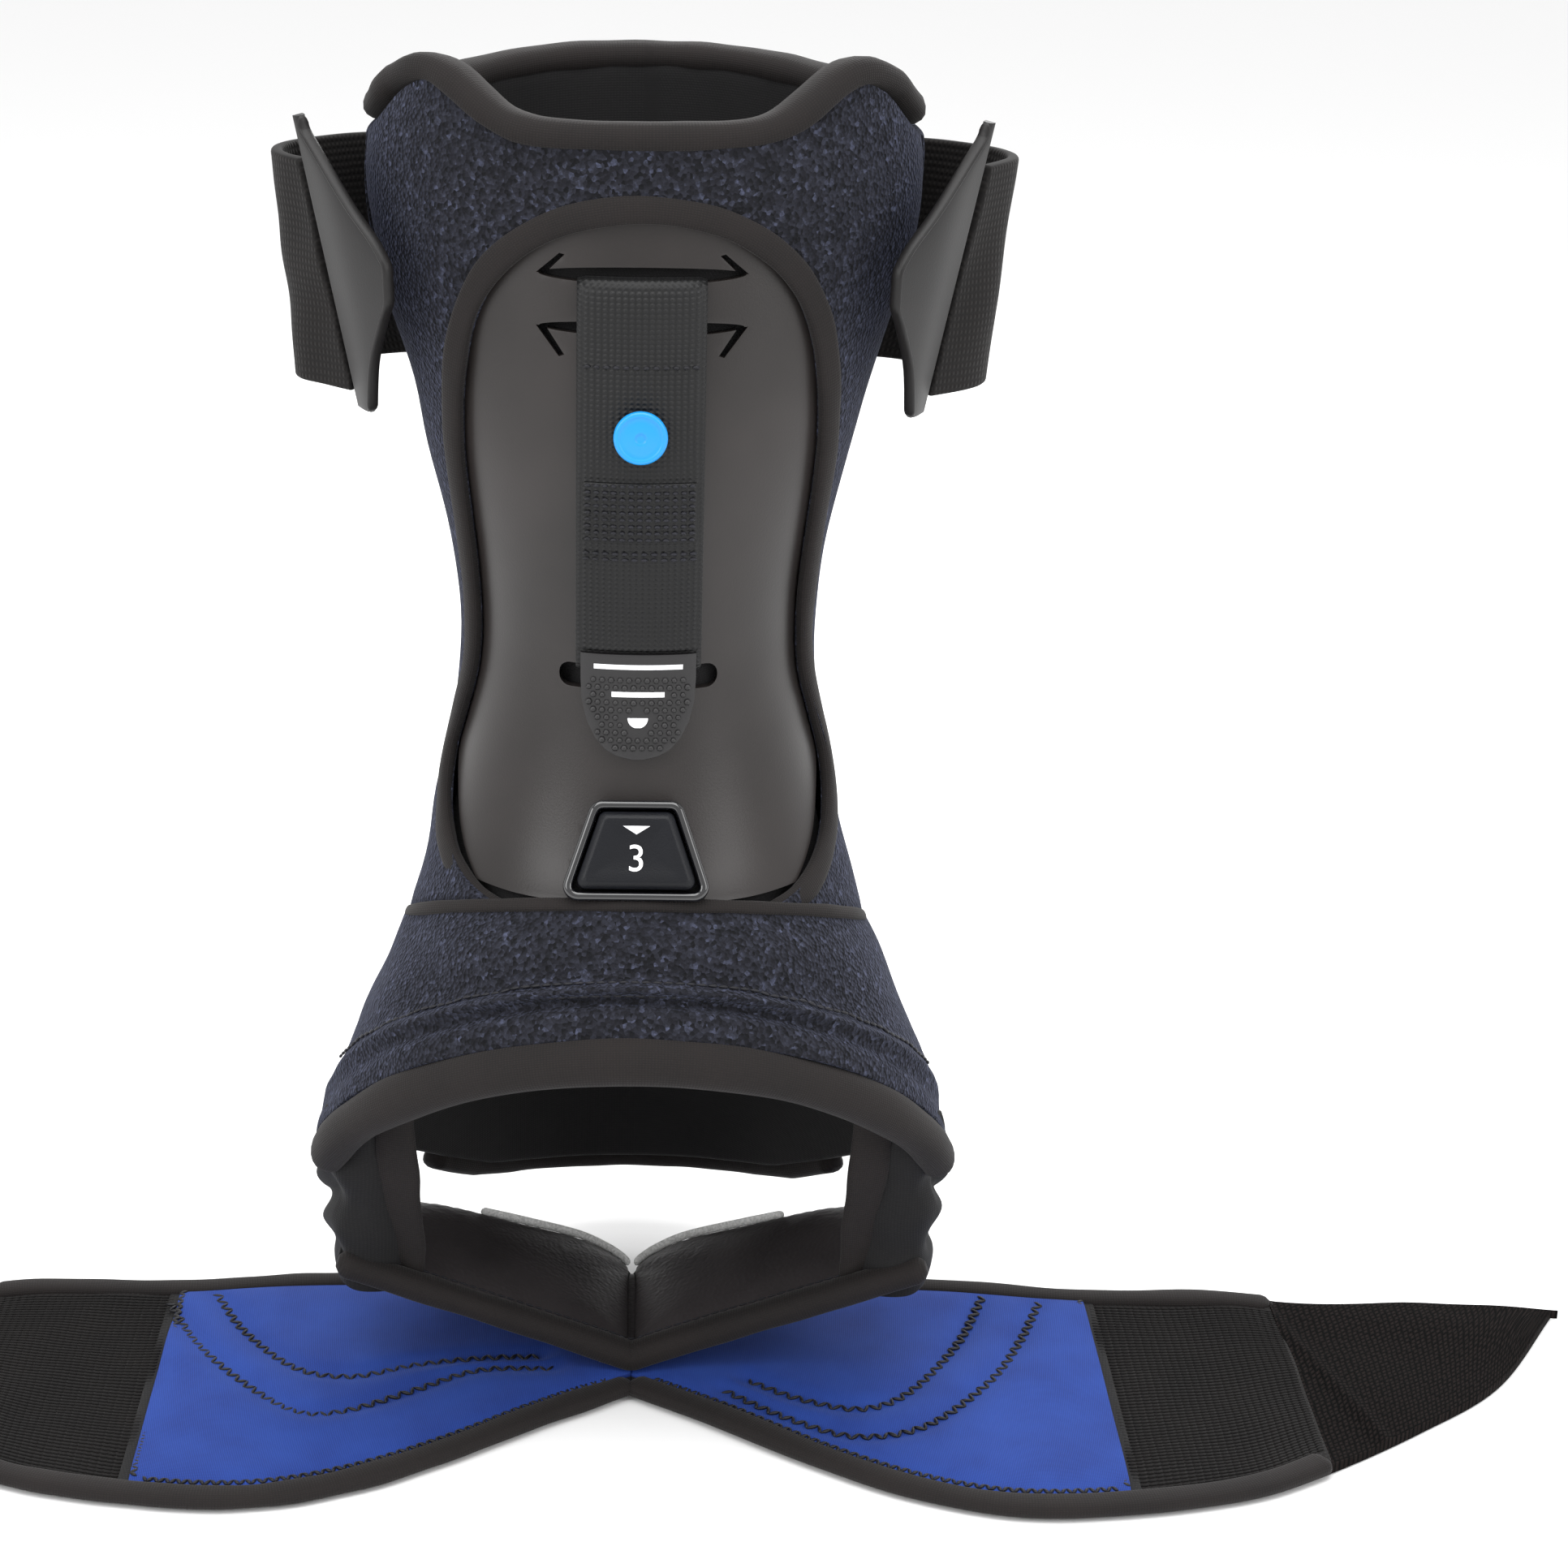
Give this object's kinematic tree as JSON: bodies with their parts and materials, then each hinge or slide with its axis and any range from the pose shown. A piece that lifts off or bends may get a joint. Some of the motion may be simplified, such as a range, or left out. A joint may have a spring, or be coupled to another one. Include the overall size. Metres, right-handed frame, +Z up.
{
  "type": "ankle foot orthosis",
  "caption": "Padded lower-leg sleeve with a moulded shin shell, pull strap, angle insert, open foot band with a folded sole pad, and wrap straps to each side.",
  "frame": {"origin": "on the floor, on the fold line of the sole, at the underside of the wrap straps' joined middle", "axes": "+X to the object's left-right direction (its plane of symmetry is X = 0), +Y back from the toes to the heel, +Z up"},
  "size_m": [0.4998, 0.1543, 0.3329],
  "materials": {
    "shell_plastic": "satin moulded",
    "bezel_plastic": "gloss",
    "insert_plastic": "fine textured",
    "blue_plastic": "satin",
    "loop_cloth": "brushed loop",
    "binding_cloth": "smooth knit",
    "liner_foam": "smooth laminate",
    "webbing": "woven",
    "elastic": "knitted elastic",
    "grip_plastic": "satin",
    "blue_lining": "smooth knit",
    "sole_cover": "smooth synthetic",
    "sole_foam": "cut foam"
  },
  "bodies": {
    "foot": {"instep_band": "loop_cloth", "hem_binding": "binding_cloth", "foot_plate": "shell_plastic", "foot_liner": "liner_foam", "heel_panel": "binding_cloth", "heel_binding": "binding_cloth", "side_panel_left": "binding_cloth", "side_panel_right": "binding_cloth", "sole_foam_left": "sole_foam", "sole_foam_right": "sole_foam", "sole_cover_left": "sole_cover", "sole_cover_right": "sole_cover", "sole_front_binding": "binding_cloth", "wing_root_pad": "binding_cloth", "wing_root_lining": "blue_lining", "wing_root_binding": "binding_cloth"},
    "leg": {"leg_shell": "shell_plastic", "insert_bezel": "bezel_plastic", "sleeve_front": "loop_cloth", "opening_binding": "binding_cloth", "sleeve_rear": "loop_cloth", "leg_liner": "liner_foam", "rim_binding_front": "binding_cloth", "rim_binding_rear": "binding_cloth", "shell_strap": "webbing", "stitch_patch": "webbing", "snap_disc": "blue_plastic", "calf_strap": "elastic", "calf_loop_left": "elastic", "calf_loop_right": "elastic"},
    "insert": {"angle_insert": "insert_plastic"},
    "end_tab": {"strap_end_tab": "grip_plastic"},
    "calf_grip_left": {"calf_tab_left": "grip_plastic"},
    "calf_grip_right": {"calf_tab_right": "grip_plastic"},
    "wrap_left": {"wing_pad_left": "binding_cloth", "wing_lining_left": "blue_lining", "wing_binding_left": "binding_cloth", "wing_elastic_left": "elastic", "wing_hook_tab_left": "elastic"},
    "wrap_right": {"wing_pad_right": "binding_cloth", "wing_lining_right": "blue_lining", "wing_binding_right": "binding_cloth", "wing_elastic_right": "elastic", "wing_hook_tab_right": "elastic"}
  },
  "joints": [
    {"name": "ankle", "type": "hinge", "parent": "foot", "child": "leg", "pos_m": [0, -0.018, 0.076], "axis": [1, 0, 0], "range_deg": [-12, 0], "stiffness_Nm_per_rad": 1.5, "springref_deg": 8.59},
    {"name": "insert_pull", "type": "slide", "parent": "leg", "child": "insert", "axis": [0, -0.9139, 0.406], "range_m": [0, 0.012]},
    {"name": "end_tab_peel", "type": "hinge", "parent": "leg", "child": "end_tab", "pos_m": [0, -0.0585, 0.203], "axis": [-1, 0, 0], "range_deg": [0, 70]},
    {"name": "calf_grip_left_turn", "type": "hinge", "parent": "leg", "child": "calf_grip_left", "pos_m": [-0.0735, -0.0226, 0.288], "axis": [0.2, 0, -0.9798], "range_deg": [-12, 70]},
    {"name": "calf_grip_right_turn", "type": "hinge", "parent": "leg", "child": "calf_grip_right", "pos_m": [0.0735, -0.0226, 0.288], "axis": [0.2, 0, 0.9798], "range_deg": [-12, 70]},
    {"name": "wrap_left_fold", "type": "hinge", "parent": "foot", "child": "wrap_left", "pos_m": [-0.0882, -0.05, 0.0044], "axis": [0, 1, 0], "range_deg": [0, 85]},
    {"name": "wrap_right_fold", "type": "hinge", "parent": "foot", "child": "wrap_right", "pos_m": [0.0882, -0.05, 0.0044], "axis": [0, -1, 0], "range_deg": [0, 85]}
  ]
}
